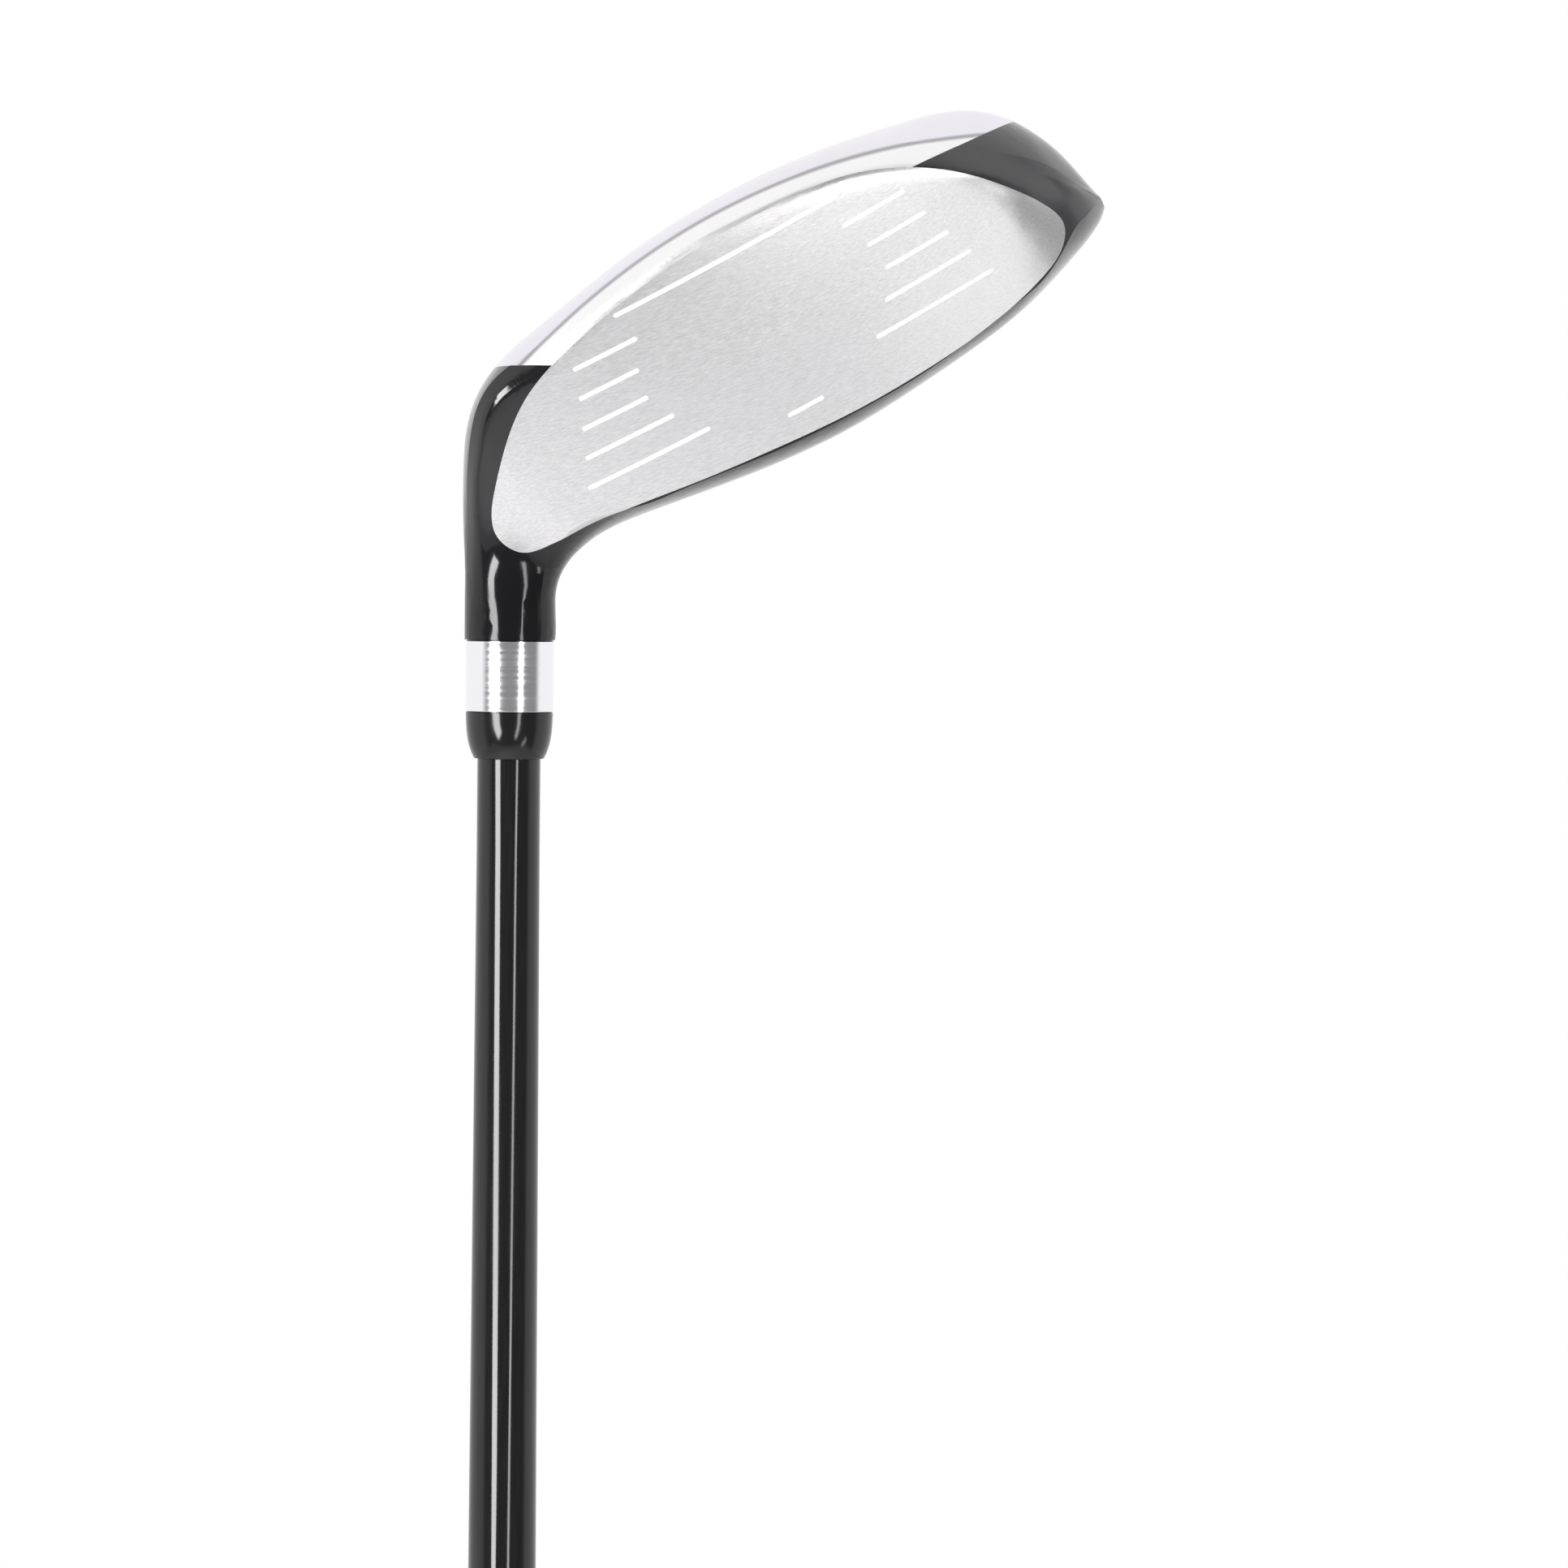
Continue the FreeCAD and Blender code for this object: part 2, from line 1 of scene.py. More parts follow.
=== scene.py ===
"""Looks of the hybrid golf club: materials, turned shaft and grip, studio and camera."""
import math

import bpy
from mathutils import Matrix, Vector

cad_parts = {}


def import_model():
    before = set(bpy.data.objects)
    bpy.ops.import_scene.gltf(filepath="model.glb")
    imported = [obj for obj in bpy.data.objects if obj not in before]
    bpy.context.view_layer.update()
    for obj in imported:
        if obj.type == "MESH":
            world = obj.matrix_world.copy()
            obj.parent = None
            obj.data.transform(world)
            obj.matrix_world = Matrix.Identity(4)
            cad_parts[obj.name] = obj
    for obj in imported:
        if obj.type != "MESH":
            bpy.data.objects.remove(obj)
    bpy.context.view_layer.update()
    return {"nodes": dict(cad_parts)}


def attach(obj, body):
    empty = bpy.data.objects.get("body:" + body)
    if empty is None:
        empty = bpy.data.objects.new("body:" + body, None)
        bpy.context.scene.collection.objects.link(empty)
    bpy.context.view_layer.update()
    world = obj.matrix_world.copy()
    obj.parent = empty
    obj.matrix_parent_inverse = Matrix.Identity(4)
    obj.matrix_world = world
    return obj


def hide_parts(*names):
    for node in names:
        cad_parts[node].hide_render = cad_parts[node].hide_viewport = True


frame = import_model()
nodes = frame["nodes"]

MM = 0.001

# ---- head frame (toe, back, sole) in the frame of the part, metres ------------
LIE = math.radians(61.0)
E_TOE = Vector((math.sin(LIE), 0, math.cos(LIE)))
E_SOLE = Vector((-math.cos(LIE), 0, math.sin(LIE)))
HEAD_ORIGIN = Vector((0, 0, 0.9816)) + E_TOE * 0.0473


# ---- node helpers -------------------------------------------------------------
class Graph:
    """Small helper for building the nodes of a material or of the world."""

    def __init__(self, owner, output_kind="ShaderNodeOutputMaterial"):
        owner.use_nodes = True
        self.owner = owner
        self.tree = owner.node_tree
        self.tree.nodes.clear()
        self.output = self.node(output_kind)

    def node(self, kind, **settings):
        made = self.tree.nodes.new(kind)
        for key, value in settings.items():
            setattr(made, key, value)
        return made

    def link(self, source, target):
        self.tree.links.new(source, target)

    def feed(self, socket, value):
        if hasattr(value, "is_output"):
            self.link(value, socket)
        else:
            socket.default_value = value

    def math(self, operation, a, b=0.0):
        made = self.node("ShaderNodeMath", operation=operation)
        self.feed(made.inputs[0], a)
        self.feed(made.inputs[1], b)
        return made.outputs[0]

    def position(self):
        return self.node("ShaderNodeTexCoord").outputs["Object"]

    def along(self, axis, origin=Vector((0, 0, 0))):
        """Distance of the shaded point from origin along an axis, metres."""
        dot = self.node("ShaderNodeVectorMath", operation="DOT_PRODUCT")
        self.link(self.position(), dot.inputs[0])
        dot.inputs[1].default_value = axis
        return self.math("SUBTRACT", dot.outputs["Value"], axis.dot(origin))

    def noise(self, scale, detail=2.0, roughness=0.5, stretch=None, axes=None):
        texture = self.node("ShaderNodeTexNoise")
        texture.inputs["Scale"].default_value = scale
        texture.inputs["Detail"].default_value = detail
        texture.inputs["Roughness"].default_value = roughness
        if stretch:
            mapping = self.node("ShaderNodeMapping", vector_type="TEXTURE")
            mapping.inputs["Rotation"].default_value = axes or (0, 0, 0)
            mapping.inputs["Scale"].default_value = stretch
            self.link(self.position(), mapping.inputs["Vector"])
            self.link(mapping.outputs[0], texture.inputs["Vector"])
        else:
            self.link(self.position(), texture.inputs["Vector"])
        return texture.outputs["Fac"]

    def remap(self, value, low, high, to_low, to_high, interpolation="LINEAR"):
        made = self.node("ShaderNodeMapRange", interpolation_type=interpolation)
        self.feed(made.inputs["Value"], value)
        made.inputs["From Min"].default_value = low
        made.inputs["From Max"].default_value = high
        made.inputs["To Min"].default_value = to_low
        made.inputs["To Max"].default_value = to_high
        return made.outputs[0]

    def bump(self, height, distance, strength, normal=None):
        made = self.node("ShaderNodeBump")
        made.inputs["Strength"].default_value = strength
        made.inputs["Distance"].default_value = distance
        self.feed(made.inputs["Height"], height)
        if normal:
            self.link(normal, made.inputs["Normal"])
        return made.outputs[0]

    def mix_colour(self, factor, a, b):
        made = self.node("ShaderNodeMix", data_type="RGBA")
        self.feed(made.inputs["Factor"], factor)
        self.feed(made.inputs["A"], a)
        self.feed(made.inputs["B"], b)
        return made.outputs["Result"]

    def shader(self, **values):
        made = self.node("ShaderNodeBsdfPrincipled")
        for key, value in values.items():
            self.feed(made.inputs[key.replace("_", " ")], value)
        return made

    def finish(self, shader):
        self.link(shader, self.output.inputs["Surface"])
        return self.owner


def material_graph(name):
    return Graph(bpy.data.materials.new(name))


# ---- head materials -------------------------------------------------------------
BRUSH_TURN = (0.0, -(math.pi / 2 - LIE), 0.0)     # local X along the toe direction
GRAIN_TURN = (0.0, math.radians(-19.0), 0.0)      # the face is brushed at a slight angle

LACQUER_BLACK = (0.004, 0.004, 0.005, 1)
# painted light: the lighter black the lacquer takes toward the toe
TOE_PAINTED_LIGHT_BLACK = (0.050, 0.050, 0.054, 1)
SOLE_STEEL = (0.84, 0.82, 0.88, 1)
# painted highlight: the strip's steel is whiter than the sole's, for the light its bevel
# catches; its rougher finish is real
STRIP_HIGHLIGHT_STEEL = (0.93, 0.93, 0.93, 1)
CLOUD_STEEL = (0.60, 0.60, 0.62, 1)
# painted shade: the dark grey laid along the crease line
CREASE_SHADE = (0.28, 0.26, 0.30, 1)
STRIP_BLUR = 0.16            # roughness that the strip has above the sole's

# Paint lines between the black lacquer and the bare steel, metres.
TOE_LINE_SOLE = 0.0192       # the toe's line lies this far sole-ward
TOE_LINE_SLOPE = 0.02
HEEL_LINE_Z = 1.0061         # the heel's line is level, at this height
HEEL_LINE_TOE = -0.0325      # and reaches this far toe-ward on the whole head,
HEEL_FRONT_TOE = -0.020      # and this far on its front
HEEL_FRONT_BACK = -0.008     # the front lies ahead of this

# The crease behind the leading edge strip, a shallow bow, metres.
CREASE_SOLE = 0.02632
CREASE_TOE = 0.001           # toe-ward place of the bow's middle
CREASE_BOW = 4.8             # the bow falls by this times the distance squared, 1/m
CREASE_BACK = -0.001         # the crease shows ahead of this


def lacquer(g, base=LACQUER_BLACK, index=1.5):
    """Deep gloss black lacquer with a faint orange peel and uneven gloss."""
    peel = g.noise(900.0, 2.0)
    smudge = g.noise(45.0, 4.0, 0.6)
    return g.shader(
        Base_Color=base,
        Roughness=g.remap(smudge, 0.35, 0.75, 0.06, 0.14),
        IOR=index,
        Normal=g.bump(peel, 0.00002, 0.12))


def bare_steel_mask(g, sole, toe, back):
    """1 on the bare steel of the sole and the leading edge, 0 on the lacquer."""
    level = g.math("ADD", sole, g.math("MULTIPLY", toe, TOE_LINE_SLOPE))
    above_toe_line = g.math("GREATER_THAN", level, TOE_LINE_SOLE)
    above_heel_line = g.math("GREATER_THAN", g.along(Vector((0, 0, 1))), HEEL_LINE_Z)
    heel_end = g.math("LESS_THAN", toe, HEEL_LINE_TOE)
    front_heel = g.math("MULTIPLY", g.math("LESS_THAN", back, HEEL_FRONT_BACK),
                        g.math("LESS_THAN", toe, HEEL_FRONT_TOE))
    heel_part = g.math("MULTIPLY", above_heel_line, g.math("MAXIMUM", heel_end, front_heel))
    toe_part = g.math("MULTIPLY", above_toe_line, g.math("SUBTRACT", 1.0, heel_end))
    return g.math("MAXIMUM", heel_part, toe_part)


def head_lacquer(g, sole, toe):
    """The lacquer, painted lighter toward the toe as painted light for the grazing light there,
    and with a soft sheen toward the toe.
    """
    # painted light: the black grows lighter toward the toe
    dust_and_painted_light = g.mix_colour(g.remap(toe, 0.030, 0.050, 0.0, 1.0), LACQUER_BLACK, TOE_PAINTED_LIGHT_BLACK)
    paint = lacquer(g, dust_and_painted_light, g.remap(sole, -0.008, 0.004, 1.42, 1.58))
    g.feed(paint.inputs["Sheen Weight"], g.remap(toe, 0.034, 0.052, 0.0, 0.5))
    paint.inputs["Sheen Roughness"].default_value = 0.35
    return paint


def head_steel(g, sole, toe, back):
    """Polished steel with brush lines, a strip tinted whiter as a painted highlight, and
    painted shade along the crease.
    """
    from_middle = g.math("SUBTRACT", toe, CREASE_TOE)
    bow = g.math("MULTIPLY", g.math("MULTIPLY", from_middle, from_middle), CREASE_BOW)
    past_crease = g.math("SUBTRACT", g.math("ADD", sole, bow), CREASE_SOLE)
    in_front = g.math("LESS_THAN", back, CREASE_BACK)
    # painted shade: the steel is darkened toward grey along the crease, standing in for the
    # shade in it
    near_crease = g.remap(g.math("ABSOLUTE", past_crease), 0.00012, 0.0005, 0.75, 0.0)
    crease_shade = g.math("MULTIPLY", near_crease, in_front)
    strip = g.math("MULTIPLY", g.math("LESS_THAN", past_crease, 0.0), in_front)
    line = g.noise(2600.0, 3.0, 0.6, stretch=(14.0, 1.0, 1.0), axes=BRUSH_TURN)
    cloud = g.noise(60.0, 4.0, 0.6)
    # painted highlight: the strip's tint is whiter than the sole's
    tint = g.mix_colour(strip, SOLE_STEEL, STRIP_HIGHLIGHT_STEEL)
    tint = g.mix_colour(g.remap(cloud, 0.3, 0.7, 0.0, 0.12), tint, CLOUD_STEEL)
    tint = g.mix_colour(crease_shade, tint, CREASE_SHADE)
    return g.shader(
        Base_Color=tint, Metallic=1.0,
        Roughness=g.math("ADD", g.remap(line, 0.3, 0.7, 0.16, 0.26),
                         g.math("MULTIPLY", strip, STRIP_BLUR)),
        Normal=g.bump(line, 0.00002, 0.15))


def head_material():
    """Black lacquer; sole and leading edge bare steel, with a line of painted shade in the
    crease.
    """
    g = material_graph("head lacquer and bare steel")
    sole = g.along(E_SOLE, HEAD_ORIGIN)
    toe = g.along(E_TOE, HEAD_ORIGIN)
    back = g.along(Vector((0, 1, 0)))
    mix = g.node("ShaderNodeMixShader")
    g.link(bare_steel_mask(g, sole, toe, back), mix.inputs["Fac"])
    g.link(head_lacquer(g, sole, toe).outputs[0], mix.inputs[1])
    g.link(head_steel(g, sole, toe, back).outputs[0], mix.inputs[2])
    return g.finish(mix.outputs[0])


def crown_material():
    g = material_graph("crown lacquer")
    return g.finish(lacquer(g, index=1.30).outputs[0])


def face_material():
    """Blasted steel with fine brushing, near the score lines' direction, and clouds."""
    g = material_graph("brushed face steel")
    grain = g.noise(6400.0, 4.0, 0.75, stretch=(9.0, 1.0, 1.0), axes=GRAIN_TURN)
    speck = g.noise(2600.0, 3.0, 0.7)
    cloud = g.noise(70.0, 3.0, 0.55, stretch=(2.5, 1.0, 1.0), axes=GRAIN_TURN)
    tone = g.mix_colour(g.remap(grain, 0.34, 0.66, 0.0, 1.0), (0.58, 0.57, 0.575, 1),
                        (0.80, 0.79, 0.795, 1))
    tone = g.mix_colour(g.remap(speck, 0.5, 0.75, 0.0, 0.55), tone, (0.60, 0.59, 0.60, 1))
    tone = g.mix_colour(g.remap(cloud, 0.35, 0.75, 0.0, 0.35), tone, (0.66, 0.66, 0.67, 1))
    pitted = g.bump(speck, 0.00003, 0.25)
    return g.finish(g.shader(
        Base_Color=tone, Metallic=1.0,
        Roughness=g.remap(grain, 0.3, 0.7, 0.30, 0.39),
        Normal=g.bump(grain, 0.00003, 0.35, pitted)).outputs[0])


def paint_material():
    g = material_graph("white score paint")
    fleck = g.noise(1500.0, 3.0)
    tone = g.mix_colour(g.remap(fleck, 0.4, 0.75, 0.0, 0.5), (0.82, 0.82, 0.81, 1),
                        (0.70, 0.70, 0.69, 1))
    return g.finish(g.shader(Base_Color=tone, Roughness=0.55,
                             Normal=g.bump(fleck, 0.00003, 0.3)).outputs[0])


# ---- materials of the ring, the shaft, the grip and the hidden pieces ------------
def ring_material():
    g = material_graph("polished ring")
    line = g.noise(3000.0, 2.0, 0.5, stretch=(30.0, 30.0, 1.0))
    return g.finish(g.shader(
        Base_Color=(0.88, 0.88, 0.90, 1), Metallic=1.0,
        Roughness=g.remap(line, 0.3, 0.7, 0.10, 0.18),
        Normal=g.bump(line, 0.00001, 0.05)).outputs[0])


def ferrule_material():
    g = material_graph("ferrule plastic")
    line = g.noise(2600.0, 2.0, 0.5, stretch=(25.0, 25.0, 1.0))
    smudge = g.noise(120.0, 3.0)
    return g.finish(g.shader(
        Base_Color=(0.006, 0.006, 0.0065, 1),
        Roughness=g.remap(smudge, 0.35, 0.7, 0.09, 0.18),
        IOR=1.49, Normal=g.bump(line, 0.00001, 0.08)).outputs[0])


def shaft_material():
    g = material_graph("clear coated graphite")
    weave = g.noise(1800.0, 2.0, 0.6, stretch=(1.0, 1.0, 18.0))
    smudge = g.noise(30.0, 3.0, 0.6)
    tone = g.mix_colour(g.remap(weave, 0.35, 0.7, 0.0, 1.0), (0.004, 0.004, 0.0045, 1),
                        (0.008, 0.008, 0.009, 1))
    return g.finish(g.shader(
        Base_Color=tone, Roughness=g.remap(smudge, 0.35, 0.7, 0.06, 0.12),
        IOR=1.5, Normal=g.bump(weave, 0.00001, 0.04)).outputs[0])


def cap_material():
    g = material_graph("cap rubber")
    pores = g.noise(1500.0, 4.0, 0.7)
    dust_and_painted_light = g.noise(80.0, 4.0, 0.6)
    tone = g.mix_colour(g.remap(dust_and_painted_light, 0.45, 0.8, 0.0, 0.5), (0.02, 0.02, 0.021, 1),
                        (0.046, 0.046, 0.0478, 1))
    return g.finish(g.shader(
        Base_Color=tone, Roughness=g.remap(pores, 0.3, 0.7, 0.52, 0.68),
        Normal=g.bump(pores, 0.00006, 0.4)).outputs[0])


CORD_PITCH = 520.0            # radians of texture per metre of grip
CORD_STARTS = 12.0            # rows round the grip, each way
CORD_FROM = 0.052             # stretch of the grip that carries the texture, metres
CORD_TO = 0.226


def grip_material():
    """Moulded rubber with two crossing helical rows of fine cord texture."""
    g = material_graph("moulded grip rubber")
    split = g.node("ShaderNodeSeparateXYZ")
    g.link(g.position(), split.inputs[0])
    turn = g.math("ARCTAN2", split.outputs["Y"], split.outputs["X"])
    climb = g.math("MULTIPLY", split.outputs["Z"], CORD_PITCH)
    round_grip = g.math("MULTIPLY", turn, CORD_STARTS)
    weave = g.math("MULTIPLY", g.math("SINE", g.math("ADD", climb, round_grip)),
                   g.math("SINE", g.math("SUBTRACT", climb, round_grip)))
    diamonds = g.remap(weave, -0.35, 0.35, 0.0, 1.0)
    patch = g.math("MULTIPLY",
                   g.math("GREATER_THAN", split.outputs["Z"], CORD_FROM),
                   g.math("LESS_THAN", split.outputs["Z"], CORD_TO))
    raised = g.math("MULTIPLY", diamonds, patch)
    pores = g.noise(2600.0, 4.0, 0.7)
    wear = g.noise(26.0, 4.0, 0.6)
    tone = g.mix_colour(g.remap(wear, 0.45, 0.8, 0.0, 0.6), (0.018, 0.018, 0.0185, 1),
                        (0.045, 0.044, 0.043, 1))
    porous = g.bump(pores, 0.00005, 0.4)
    return g.finish(g.shader(
        Base_Color=tone, Roughness=g.remap(pores, 0.3, 0.7, 0.55, 0.72),
        Normal=g.bump(raised, 0.0003, 0.6, porous)).outputs[0])


def dull_material(name, base, rough, metallic=0.0):
    """Plain finish of a piece that is hidden inside the club."""
    g = material_graph(name)
    grain = g.noise(800.0, 3.0)
    tone = g.mix_colour(g.remap(grain, 0.3, 0.7, 0.0, 1.0), base,
                        tuple(0.8 * c for c in base[:3]) + (1,))
    return g.finish(g.shader(
        Base_Color=tone, Metallic=metallic,
        Roughness=g.remap(grain, 0.3, 0.7, rough - 0.05, rough + 0.05),
        Normal=g.bump(grain, 0.00003, 0.3)).outputs[0])


def dress(name, material):
    node = nodes[name]
    node.data.materials.clear()
    node.data.materials.append(material)


def even_normals(name):
    """Let the large facets lead the shading, so that thin slivers don't show."""
    modifier = nodes[name].modifiers.new("even normals", "WEIGHTED_NORMAL")
    modifier.mode = "FACE_AREA"
    modifier.weight = 60
    modifier.keep_sharp = True


even_normals("face_plate")
even_normals("head_body")
dress("head_body", head_material())
dress("crown_plate", crown_material())
dress("face_plate", face_material())
dress("score_paint", paint_material())
dress("hosel_ring", ring_material())
dress("ferrule", ferrule_material())
dress("glue_pad", dull_material("hot melt", (0.62, 0.52, 0.28, 1), 0.5))
dress("hosel_plug", dull_material("plug rubber", (0.03, 0.03, 0.03, 1), 0.7))
dress("hosel_epoxy", dull_material("epoxy", (0.42, 0.38, 0.28, 1), 0.35))
dress("tip_weight", dull_material("brass", (0.72, 0.52, 0.22, 1), 0.3, 1.0))
dress("grip_tape", dull_material("grip tape", (0.62, 0.56, 0.42, 1), 0.8))
dress("grip_cap", cap_material())


# ---- turned pieces ------------------------------------------------------------
def lathe(name, profile, segments, material):
    """Turned mesh about the Z axis from a closed loop of (radius, height) points, mm."""
    verts = []
    faces = []
    for r, z in profile:
        for i in range(segments):
            a = 2 * math.pi * i / segments
            verts.append((r * MM * math.cos(a), r * MM * math.sin(a), z * MM))
    rows = len(profile)
    for j in range(rows):
        k = (j + 1) % rows
        for i in range(segments):
            n = (i + 1) % segments
            faces.append((j * segments + i, j * segments + n,
                          k * segments + n, k * segments + i))
    mesh = bpy.data.meshes.new(name)
    mesh.from_pydata(verts, [], faces)
    mesh.materials.append(material)
    mesh.shade_smooth()
    made = bpy.data.objects.new(name, mesh)
    bpy.context.scene.collection.objects.link(made)
    return made


# Shaft, millimetres. It tapers evenly between two plain stretches.
SHAFT_BUTT = 3.0
SHAFT_TIP = 985.8
TAPER_FROM = 60.0
TAPER_TO = 935.0
TAPER_STEPS = 35
SHAFT_BUTT_R = 7.6
SHAFT_TIP_R = 4.7
BORE_BUTT_R = 6.5
BORE_TIP_R = 2.8
SHAFT_EDGE = 0.3              # rounding of the outer edges
END_DISH = 0.2                # both end faces dish in by this at the bore
SHAFT_SEGMENTS = 96


def shaft_radius(z):
    share = min(1.0, max(0.0, (z - TAPER_FROM) / (TAPER_TO - TAPER_FROM)))
    return SHAFT_BUTT_R + (SHAFT_TIP_R - SHAFT_BUTT_R) * share


def soft_corner(a, b, c, size, steps=4):
    """Points that round the corner b between a and c."""
    start = Vector(b) + (Vector(a) - Vector(b)).normalized() * size
    end = Vector(b) + (Vector(c) - Vector(b)).normalized() * size
    points = []
    for i in range(steps + 1):
        k = i / steps
        p = start * (1 - k) ** 2 + Vector(b) * 2 * k * (1 - k) + end * k ** 2
        points.append((p.x, p.y))
    return points


def shaft_outline():
    step = (TAPER_TO - TAPER_FROM) / TAPER_STEPS
    taper = [TAPER_FROM + step * i for i in range(TAPER_STEPS + 1)]
    butt = soft_corner((BORE_BUTT_R, SHAFT_BUTT), (SHAFT_BUTT_R, SHAFT_BUTT),
                       (SHAFT_BUTT_R, TAPER_FROM), SHAFT_EDGE)
    tip = soft_corner((SHAFT_TIP_R, TAPER_TO), (SHAFT_TIP_R, SHAFT_TIP),
                      (BORE_TIP_R, SHAFT_TIP), SHAFT_EDGE)
    bore = [(BORE_TIP_R, SHAFT_TIP - END_DISH), (BORE_TIP_R, TAPER_TO),
            (BORE_BUTT_R, TAPER_FROM), (BORE_BUTT_R, SHAFT_BUTT + END_DISH)]
    return butt + [(shaft_radius(z), z) for z in taper] + tip + bore


shaft = lathe("shaft_visual", shaft_outline(), SHAFT_SEGMENTS, shaft_material())
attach(shaft, "root")
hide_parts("shaft")

# Grip, millimetres. Radius points run from the butt to the lip at the far end.
GRIP_PROFILE = [(3.0, 13.3), (10.0, 13.25), (30.0, 12.55), (75.0, 11.6), (130.0, 10.9),
                (190.0, 10.15), (262.0, 9.1)]      # (height, radius)
GRIP_BUTT = 3.0
GRIP_BUTT_R = 13.25
GRIP_CORNER_TOP = 10.0        # the butt's corner rounds off toward this height
GRIP_LIP = [(9.07, 262.0), (9.0, 264.0), (8.75, 266.2), (8.5, 267.5)]     # (radius, height)
LIP_SHOULDER = (8.4, 267.7)
LIP_START = 262.0
LIP_R = 8.3
GRIP_END = 268.0
TAPE = 0.15
INSET = 0.02                  # the turned side stays this far under GRIP_PROFILE
STOP_FROM = 3.8               # height of the first of the evenly spaced points
STOP_STEP = 3.0
STOP_COUNT = 87
GROOVES = [22.0 + 4.0 * i for i in range(6)] + [236.0 + 4.0 * i for i in range(5)]
GROOVE_WIDTH = 1.4
GROOVE_DEPTH = 0.45
BUTT_CORNER = 0.6             # rounding of the butt's outer edge
LIP_CORNER = 0.2
GRIP_SEGMENTS = 120


def grip_radius(z):
    """Radius of the grip, with its grooves."""
    for (z0, r0), (z1, r1) in zip(GRIP_PROFILE, GRIP_PROFILE[1:]):
        if z <= z1:
            break
    radius = r0 + (r1 - r0) * (z - z0) / (z1 - z0) - INSET
    for centre in GROOVES:
        away = abs(z - centre) / (0.5 * GROOVE_WIDTH)
        if away < 1:
            radius -= GROOVE_DEPTH * (1 - away ** 2)
    return radius


def grip_stops():
    """Heights of the outline's points: even steps, closer across each groove."""
    stops = {STOP_FROM + STOP_STEP * i for i in range(STOP_COUNT)}
    for centre in GROOVES:
        stops.update(centre + 0.5 * GROOVE_WIDTH * k for k in (-1.0, -0.6, -0.2, 0.2, 0.6, 1.0))
    return sorted(z for z in stops if z < LIP_START)


def grip_outline():
    bore_butt_r = shaft_radius(TAPER_FROM) + TAPE
    bore_end_r = shaft_radius(GRIP_END) + TAPE
    butt = soft_corner((bore_butt_r, GRIP_BUTT), (GRIP_BUTT_R, GRIP_BUTT),
                       (GRIP_BUTT_R, GRIP_CORNER_TOP), BUTT_CORNER)
    side = [(grip_radius(z), z) for z in grip_stops()]
    end = soft_corner(LIP_SHOULDER, (LIP_R, GRIP_END), (bore_end_r, GRIP_END), LIP_CORNER)
    bore = [(bore_end_r, GRIP_END), (bore_butt_r, TAPER_FROM), (bore_butt_r, GRIP_BUTT)]
    return butt + side + GRIP_LIP + end + bore


grip = lathe("grip_visual", grip_outline(), GRIP_SEGMENTS, grip_material())
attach(grip, "root")
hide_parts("grip")


# ---- studio ---------------------------------------------------------------------
def floor():
    mesh = bpy.data.meshes.new("floor")
    half = 1.5
    mesh.from_pydata([(-half, -half, 0), (half, -half, 0), (half, half, 0), (-half, half, 0)],
                     [], [(0, 1, 2, 3)])
    g = material_graph("pale floor")
    mesh.materials.append(g.finish(g.shader(Base_Color=(0.85, 0.85, 0.86, 1),
                                            Roughness=0.7).outputs[0]))
    made = bpy.data.objects.new("floor", mesh)
    bpy.context.scene.collection.objects.link(made)


LIGHT_TARGET = Vector((0.04, 0, 0.95))
LIGHT_DISTANCE = 1.2


def strip_light(name, azimuth, elevation, width, height, power):
    """Soft box that faces the head; its azimuth is counted from the front, toe-ward."""
    az = math.radians(azimuth)
    el = math.radians(elevation)
    toward = Vector((math.sin(az) * math.cos(el), -math.cos(az) * math.cos(el), math.sin(el)))
    place = LIGHT_TARGET + LIGHT_DISTANCE * toward
    data = bpy.data.lights.new(name, "AREA")
    data.shape = "RECTANGLE"
    data.size = width
    data.size_y = height
    data.energy = power
    lamp = bpy.data.objects.new(name, data)
    lamp.matrix_world = Matrix.Translation(place) @ (
        (LIGHT_TARGET - place).to_track_quat("-Z", "Z").to_matrix().to_4x4())
    bpy.context.scene.collection.objects.link(lamp)


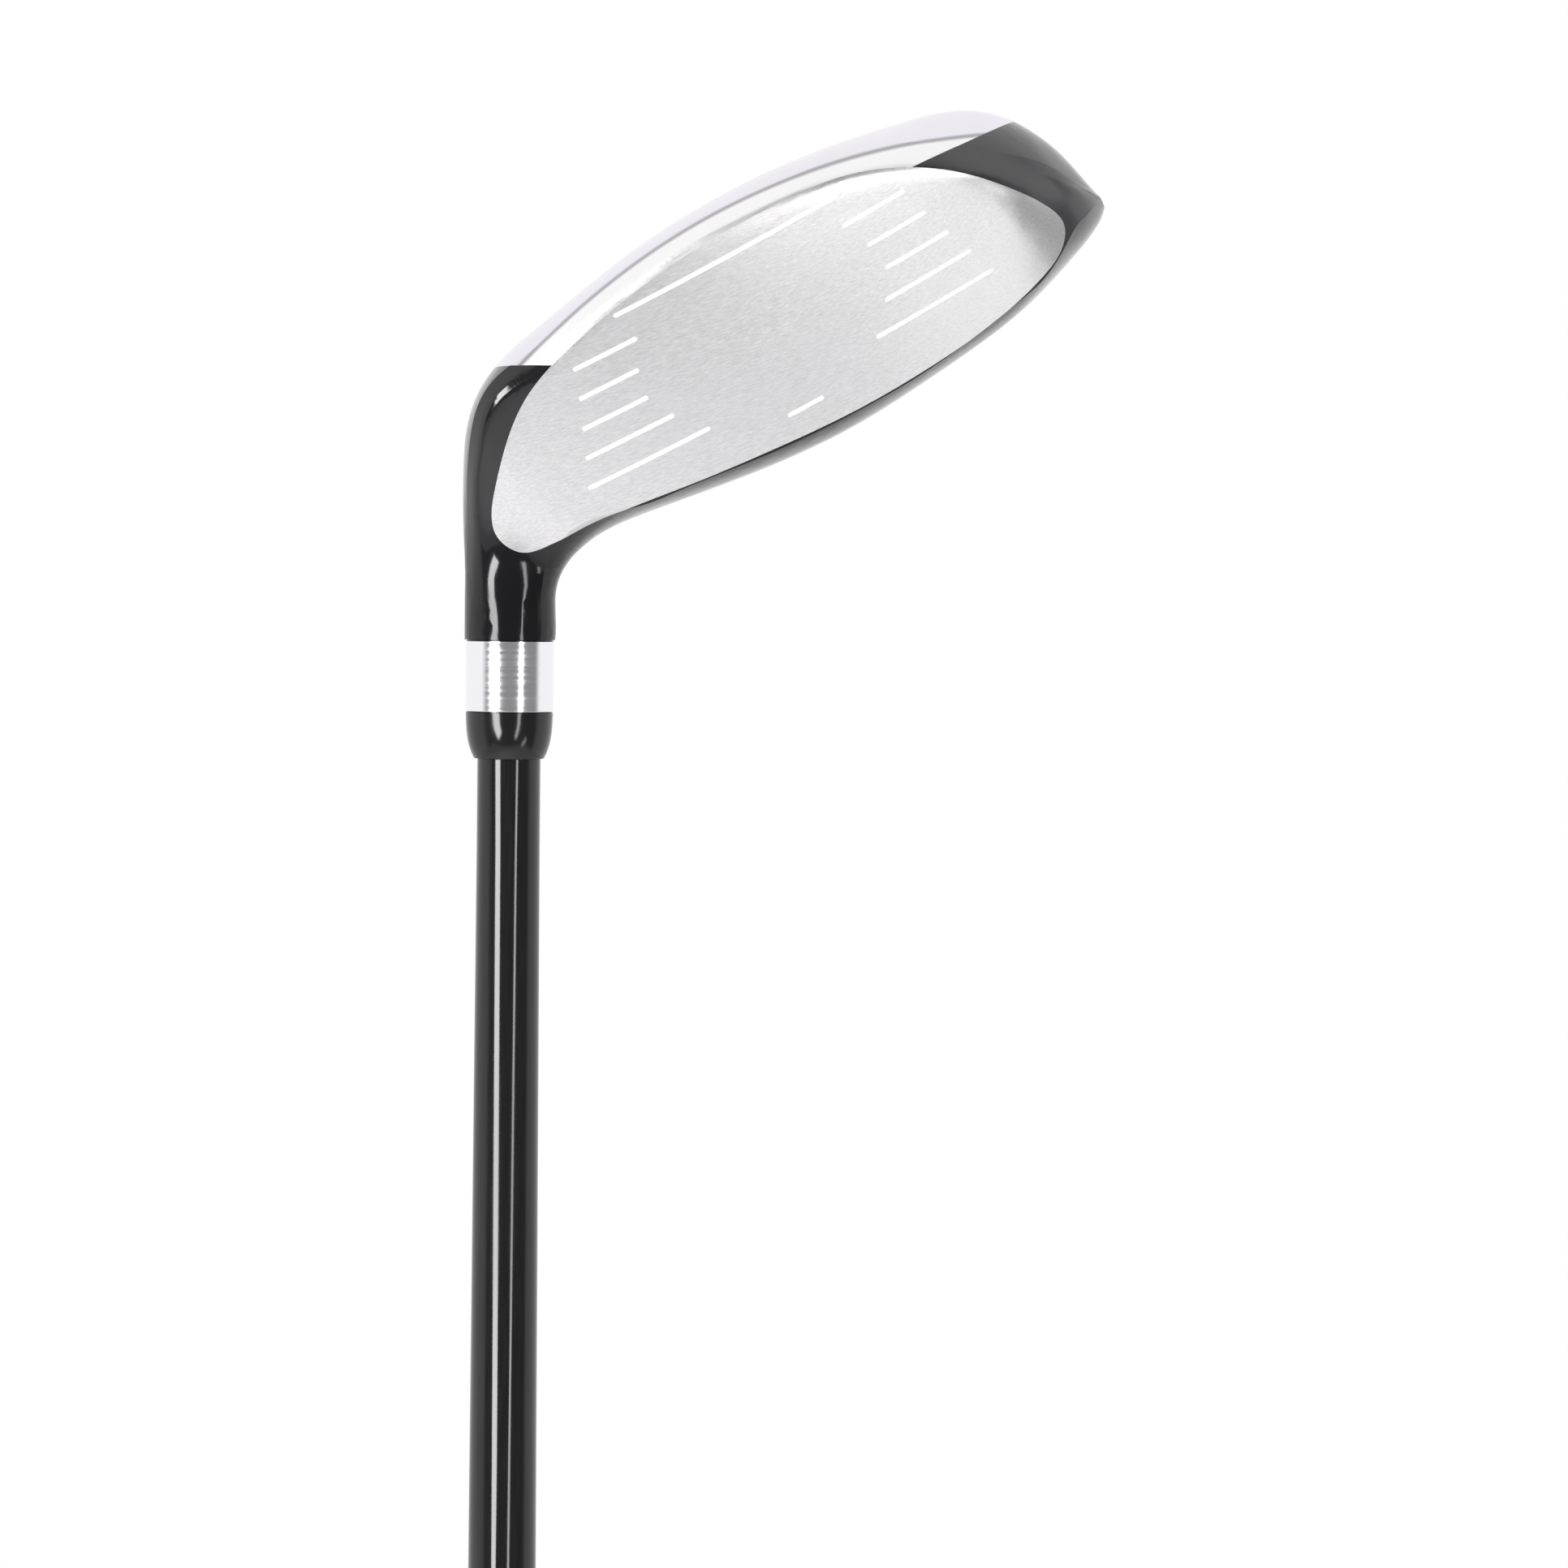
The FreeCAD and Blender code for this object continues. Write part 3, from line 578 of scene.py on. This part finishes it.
def world():
    """White studio: dim on the camera's side, bright behind, overhead and low down."""
    g = Graph(bpy.data.worlds.new("studio"), "ShaderNodeOutputWorld")
    split = g.node("ShaderNodeSeparateXYZ")
    g.link(g.node("ShaderNodeTexCoord").outputs["Generated"], split.inputs[0])
    x, y, z = split.outputs

    def soft(value, low, high, to_low, to_high):
        return g.remap(value, low, high, to_low, to_high, "SMOOTHSTEP")

    depth = g.math("SUBTRACT", y, g.math("MULTIPLY", x, 0.13))
    behind = soft(depth, -0.44, -0.12, 0.27, 1.0)
    below = g.math("MULTIPLY", soft(z, -0.30, -0.60, 0.0, 0.54), soft(x, 0.0, 0.40, 0.80, 1.0))
    above = soft(z, 0.30, 0.85, 0.0, 1.0)
    light = g.math("MAXIMUM", g.math("MAXIMUM", behind, below), above)
    seen = g.node("ShaderNodeMix")
    g.link(g.node("ShaderNodeLightPath").outputs["Is Camera Ray"], seen.inputs["Factor"])
    g.link(light, seen.inputs["A"])
    seen.inputs["B"].default_value = 1.0
    back = g.node("ShaderNodeBackground")
    back.inputs["Color"].default_value = (1, 1, 1, 1)
    g.link(seen.outputs["Result"], back.inputs["Strength"])
    bpy.context.scene.world = g.finish(back.outputs[0])


CAMERA_PLACE = Vector((0.04089, -0.9, 0.9754))
CAMERA_PITCH = math.radians(-1.9355)
CAMERA_ROLL = math.radians(0.5833)
CAMERA_LENS = 139.19
CAMERA_SENSOR = 36.0


def camera():
    forward = Vector((0, math.cos(CAMERA_PITCH), math.sin(CAMERA_PITCH)))
    right = Vector((1, 0, 0))
    up = right.cross(forward)
    turned_right = right * math.cos(CAMERA_ROLL) + up * math.sin(CAMERA_ROLL)
    turned_up = up * math.cos(CAMERA_ROLL) - right * math.sin(CAMERA_ROLL)
    data = bpy.data.cameras.new("camera")
    data.sensor_width = CAMERA_SENSOR
    data.lens = CAMERA_LENS
    data.clip_start = 0.01
    made = bpy.data.objects.new("camera", data)
    rotation = Matrix((turned_right, turned_up, -forward)).transposed().to_4x4()
    made.matrix_world = Matrix.Translation(CAMERA_PLACE) @ rotation
    bpy.context.scene.collection.objects.link(made)
    bpy.context.scene.camera = made


floor()
strip_light("left strip", -42, 3, 0.28, 1.2, 16)
strip_light("right strip", 33, 3, 0.12, 1.2, 4)
strip_light("low fill", 45, -24, 0.10, 0.30, 0.48)
world()
camera()
bpy.context.scene.view_settings.view_transform = "Standard"
